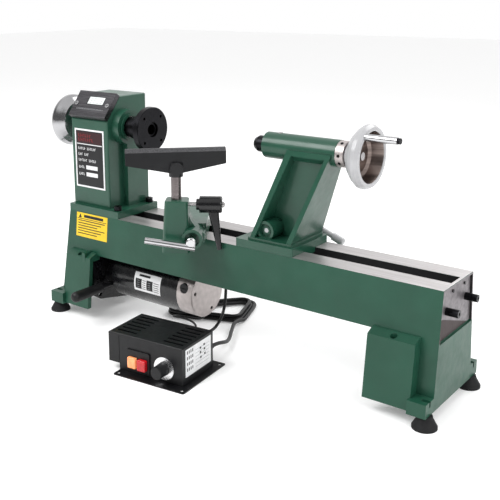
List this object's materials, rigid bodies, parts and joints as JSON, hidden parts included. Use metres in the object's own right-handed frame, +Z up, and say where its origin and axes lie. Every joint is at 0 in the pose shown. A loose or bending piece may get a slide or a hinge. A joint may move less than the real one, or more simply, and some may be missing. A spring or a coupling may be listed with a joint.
{
  "type": "wood lathe",
  "caption": "Benchtop wood lathe with cast bed, headstock, banjo and tool rest, tailstock, motor under the bed and a separate speed control box.",
  "frame": {"origin": "middle of the rectangle of the four feet, on the surface that the lathe stands on", "axes": "+X along the bed from headstock to tailstock, -Y towards the operator, +Z up"},
  "size_m": [0.7665, 0.3701, 0.3944],
  "materials": {
    "green_paint": "satin painted cast iron",
    "pale_green_paint": "satin",
    "black_paint": "satin powder coat",
    "black_oxide": "black oxide",
    "bright_steel": "ground",
    "bright_chrome": "polished",
    "cast_aluminium": "as cast",
    "black_rubber": "matte",
    "black_plastic": "matte",
    "display_face": "gloss",
    "plate_print": "printed",
    "red_plastic": "gloss",
    "orange_plastic": "gloss",
    "cord_sheath": "satin"
  },
  "bodies": {
    "bed": {"bed_casting": "green_paint", "rubber_feet": "black_rubber", "bed_stop_screws": "black_oxide", "cover_hinges": "black_paint", "headstock_casting": "green_paint", "headstock_bolts": "black_oxide", "headstock_back_door": "black_paint", "nameplate": "plate_print", "display_case": "cast_aluminium", "display_window": "display_face", "spindle_bearings": "bright_steel", "bearing_cap": "black_oxide", "drive_belt": "black_rubber", "motor_pivot_bolt": "bright_steel", "control_box_base": "black_paint", "control_box_cover": "black_paint", "switch_bezel": "black_plastic", "speed_dial_ring": "bright_steel", "cord_glands": "black_plastic", "control_lead": "cord_sheath", "motor_lead": "cord_sheath", "mains_lead": "cord_sheath", "mains_hank": "cord_sheath", "mains_plug": "black_plastic"},
    "end_cover": {"end_cover": "black_paint"},
    "cover_latch": {"cover_latch": "black_plastic"},
    "spindle": {"spindle": "bright_steel", "spindle_pulley": "cast_aluminium", "faceplate": "black_oxide", "outboard_handwheel": "bright_chrome"},
    "motor": {"motor_plate": "black_paint", "motor_front_bell": "black_paint", "motor_can": "black_paint", "motor_end_bell": "cast_aluminium", "brush_caps": "black_plastic", "tension_handle": "black_plastic"},
    "motor_rotor": {"motor_rotor": "bright_steel", "motor_pulley": "cast_aluminium"},
    "banjo_clamp_plate": {"banjo_clamp_plate": "black_oxide"},
    "banjo_clamp_bolt": {"banjo_clamp_bolt": "bright_steel"},
    "banjo": {"banjo": "green_paint"},
    "banjo_clamp_handle": {"banjo_clamp_handle": "bright_chrome"},
    "tool_rest_post": {"tool_rest_post": "bright_steel"},
    "tool_rest": {"tool_rest": "black_paint"},
    "rest_lock_lever": {"rest_lock_lever": "black_plastic", "rest_lock_stud": "bright_steel"},
    "tailstock": {"tailstock_casting": "green_paint", "thrust_collar": "cast_aluminium", "quill_key_screw": "bright_steel", "tail_clamp_bolt": "bright_steel", "tail_clamp_plate": "black_oxide"},
    "tail_clamp_lever": {"tail_clamp_lever": "bright_chrome"},
    "quill": {"quill": "black_oxide"},
    "tailstock_handwheel": {"lead_screw": "bright_steel", "tailstock_handwheel": "bright_chrome", "crank_pin": "bright_steel"},
    "crank_handle": {"crank_handle": "bright_chrome"},
    "start_button": {"start_button": "orange_plastic"},
    "stop_button": {"stop_button": "red_plastic"},
    "speed_knob": {"speed_knob": "black_plastic"}
  },
  "joints": [
    {"name": "end_cover_hinge", "type": "hinge", "parent": "bed", "child": "end_cover", "pos_m": [-0.35785, 0.05, 0.08643], "axis": [0.0851, 0, 0.9964], "range_deg": [-110, 0]},
    {"name": "cover_latch_turn", "type": "hinge", "parent": "end_cover", "child": "cover_latch", "pos_m": [-0.36271, -0.034, 0.06476], "axis": [-0.9964, 0, 0.0851], "range_deg": [-90, 0]},
    {"name": "spindle_spin", "type": "hinge", "parent": "bed", "child": "spindle", "pos_m": [-0.3, 0, 0.3364], "axis": [1, 0, 0], "continuous": true},
    {"name": "motor_tilt", "type": "hinge", "parent": "bed", "child": "motor", "pos_m": [-0.27, -0.047, 0.068], "axis": [1, 0, 0], "range_deg": [0, 4]},
    {"name": "motor_spin", "type": "hinge", "parent": "motor", "child": "motor_rotor", "pos_m": [-0.2, 0, 0.072], "axis": [1, 0, 0], "continuous": true},
    {"name": "banjo_along_bed", "type": "slide", "parent": "bed", "child": "banjo_clamp_plate", "axis": [1, 0, 0], "range_m": [-0.07, 0.008]},
    {"name": "banjo_swivel", "type": "hinge", "parent": "banjo_clamp_plate", "child": "banjo_clamp_bolt", "pos_m": [-0.08999, -0.00001, 0.165], "axis": [0, 0, 1], "range_deg": [-30, 0]},
    {"name": "banjo_in_out", "type": "slide", "parent": "banjo_clamp_bolt", "child": "banjo", "axis": [-0.5592, 0.829, 0], "range_m": [-0.033, 0]},
    {"name": "banjo_clamp_turn", "type": "hinge", "parent": "banjo", "child": "banjo_clamp_handle", "pos_m": [-0.04045, -0.07346, 0.195], "axis": [-0.5592, 0.829, 0], "range_deg": [-60, 90]},
    {"name": "rest_height", "type": "slide", "parent": "banjo", "child": "tool_rest_post", "axis": [0, 0, 1], "range_m": [-0.034, 0.03]},
    {"name": "rest_swivel", "type": "hinge", "parent": "tool_rest_post", "child": "tool_rest", "pos_m": [-0.062, -0.088, 0.29], "axis": [0, 0, 1], "continuous": true},
    {"name": "rest_lock_turn", "type": "hinge", "parent": "banjo", "child": "rest_lock_lever", "pos_m": [-0.04625, -0.07737, 0.244], "axis": [0.829, 0.5592, 0], "range_deg": [-150, 0]},
    {"name": "tailstock_along_bed", "type": "slide", "parent": "bed", "child": "tailstock", "axis": [1, 0, 0], "range_m": [-0.006, 0.222]},
    {"name": "tail_clamp_turn", "type": "hinge", "parent": "tailstock", "child": "tail_clamp_lever", "pos_m": [0.0695, 0.03, 0.212], "axis": [0, 1, 0], "range_deg": [-111, 8]},
    {"name": "tailstock_wheel_turn", "type": "hinge", "parent": "tailstock", "child": "tailstock_handwheel", "pos_m": [0.19, 0, 0.3364], "axis": [1, 0, 0], "range_deg": [0, 10080]},
    {"name": "quill_slide", "type": "slide", "parent": "tailstock", "child": "quill", "axis": [-1, 0, 0], "range_m": [0, 0.056]},
    {"name": "crank_handle_spin", "type": "hinge", "parent": "tailstock_handwheel", "child": "crank_handle", "pos_m": [0.2243, -0.02208, 0.36794], "axis": [1, 0, 0], "continuous": true},
    {"name": "start_button_press", "type": "slide", "parent": "bed", "child": "start_button", "axis": [-0.1045, 0.9945, 0], "range_m": [0, 0.003], "stiffness_N_per_m": 400},
    {"name": "stop_button_press", "type": "slide", "parent": "bed", "child": "stop_button", "axis": [-0.1045, 0.9945, 0], "range_m": [0, 0.003], "stiffness_N_per_m": 400},
    {"name": "speed_knob_turn", "type": "hinge", "parent": "bed", "child": "speed_knob", "pos_m": [-0.00583, -0.18685, 0.023], "axis": [-0.1045, 0.9945, 0], "range_deg": [0, 280]}
  ],
  "couplings": [
    {"joint": "motor_spin", "follows": "spindle_spin", "ratio": 1.8125},
    {"joint": "quill_slide", "follows": "tailstock_wheel_turn", "m_per_rad": 0.00031831}
  ]
}
